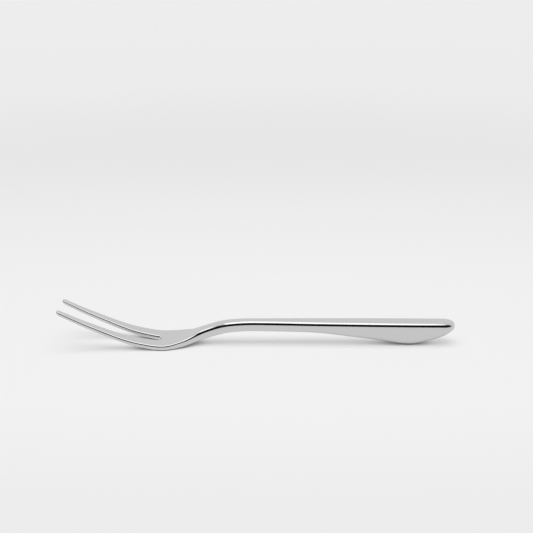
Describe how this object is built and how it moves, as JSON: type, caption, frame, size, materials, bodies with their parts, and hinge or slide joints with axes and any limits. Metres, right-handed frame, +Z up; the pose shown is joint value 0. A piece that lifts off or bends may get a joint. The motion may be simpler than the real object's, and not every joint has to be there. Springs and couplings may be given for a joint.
{
  "type": "fruit fork",
  "caption": "Small fruit fork with slim tines and a flat-topped hollow handle, for picking up cut fruit; it rests on its palm and on the deep end of its handle.",
  "frame": {"origin": "on the table under the middle of the fork's bounding box", "axes": "+X along the fork from the tine tips to the tail of the handle, +Y across it, +Z up from the table it rests on"},
  "size_m": [0.1406, 0.0134, 0.015],
  "materials": {
    "polished_steel": "polished",
    "hard_fill": "matte"
  },
  "bodies": {
    "root": {"fork_head": "polished_steel", "handle_shell": "polished_steel", "handle_cover": "polished_steel", "handle_filler": "hard_fill"}
  },
  "joints": []
}
